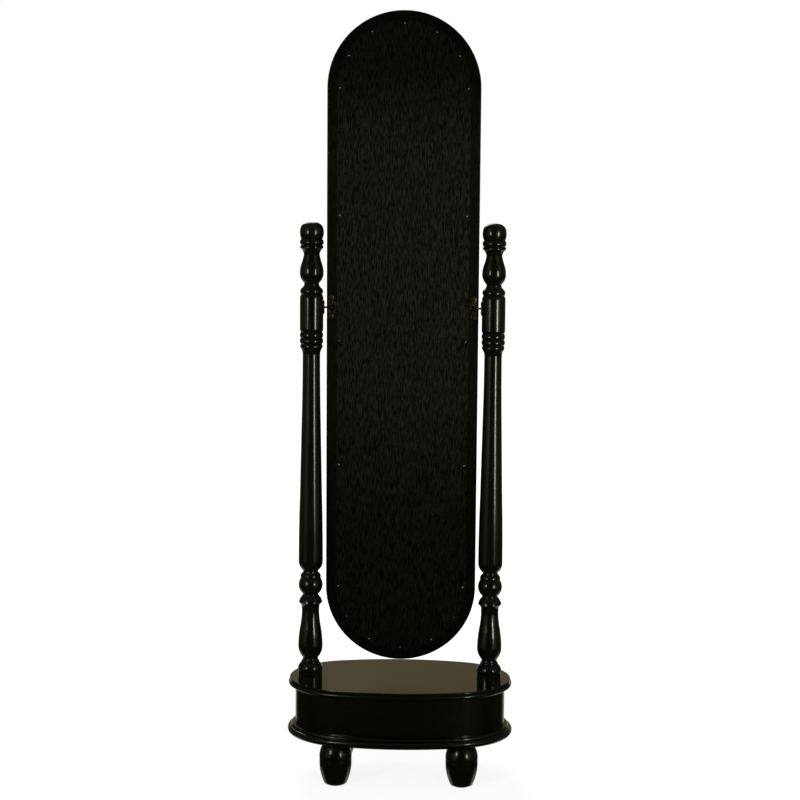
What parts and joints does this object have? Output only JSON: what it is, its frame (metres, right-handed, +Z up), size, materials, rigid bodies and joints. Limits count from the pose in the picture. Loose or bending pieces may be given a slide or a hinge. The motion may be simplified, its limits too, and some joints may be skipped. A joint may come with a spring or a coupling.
{
  "type": "cheval floor mirror",
  "caption": "Tall rounded-end cheval mirror tilting on two pins between turned posts, on a low oval box base with turned feet.",
  "frame": {"origin": "on the floor, under the middle of the oval base", "axes": "+Z up, +X to the right of a person looking into the glass, -Y the way the glass faces"},
  "size_m": [0.475, 0.3028, 1.5922],
  "materials": {
    "base_lacquer": "black gloss lacquer",
    "post_lacquer": "black gloss lacquer on turned wood",
    "frame_lacquer": "black gloss lacquer",
    "panel_lacquer": "black lacquer over open-grained plywood",
    "raw_wood": "unfinished",
    "mirror_glass": "silvered glass",
    "cushion": "grey card",
    "antique_brass": "antiqued, slightly dull",
    "zinc_steel": "zinc plated",
    "felt": "pressed felt"
  },
  "bodies": {
    "stand": {"base_bottom_board": "base_lacquer", "base_skirt": "base_lacquer", "base_top_board": "base_lacquer", "skirt_glue_blocks": "raw_wood", "base_board_screws": "zinc_steel", "foot_front_left": "base_lacquer", "foot_front_right": "base_lacquer", "foot_rear_left": "base_lacquer", "foot_rear_right": "base_lacquer", "foot_pads": "felt", "foot_hanger_bolts": "zinc_steel", "foot_tee_nuts": "zinc_steel", "post_left": "post_lacquer", "post_right": "post_lacquer", "post_bolts": "zinc_steel", "post_bolt_washers": "zinc_steel", "post_threaded_inserts": "zinc_steel", "post_plate_left": "antique_brass", "post_plate_right": "antique_brass", "post_plate_screws_left": "antique_brass", "post_plate_screws_right": "antique_brass", "pivot_pin_left": "antique_brass", "pivot_pin_right": "antique_brass"},
    "mirror": {"frame_stile_left": "frame_lacquer", "frame_stile_right": "frame_lacquer", "frame_arch_top": "frame_lacquer", "frame_arch_bottom": "frame_lacquer", "frame_dowels": "raw_wood", "mirror_glass": "mirror_glass", "glass_cushion_sheet": "cushion", "mirror_back_panel": "panel_lacquer", "back_panel_brads": "zinc_steel", "pivot_bracket_left": "antique_brass", "pivot_bracket_right": "antique_brass", "pivot_bracket_screws": "antique_brass", "pivot_clamp_screws": "antique_brass"}
  },
  "joints": [
    {"name": "mirror_tilt", "type": "hinge", "parent": "stand", "child": "mirror", "pos_m": [0, 0.062, 0.992], "axis": [1, 0, 0], "continuous": true}
  ]
}
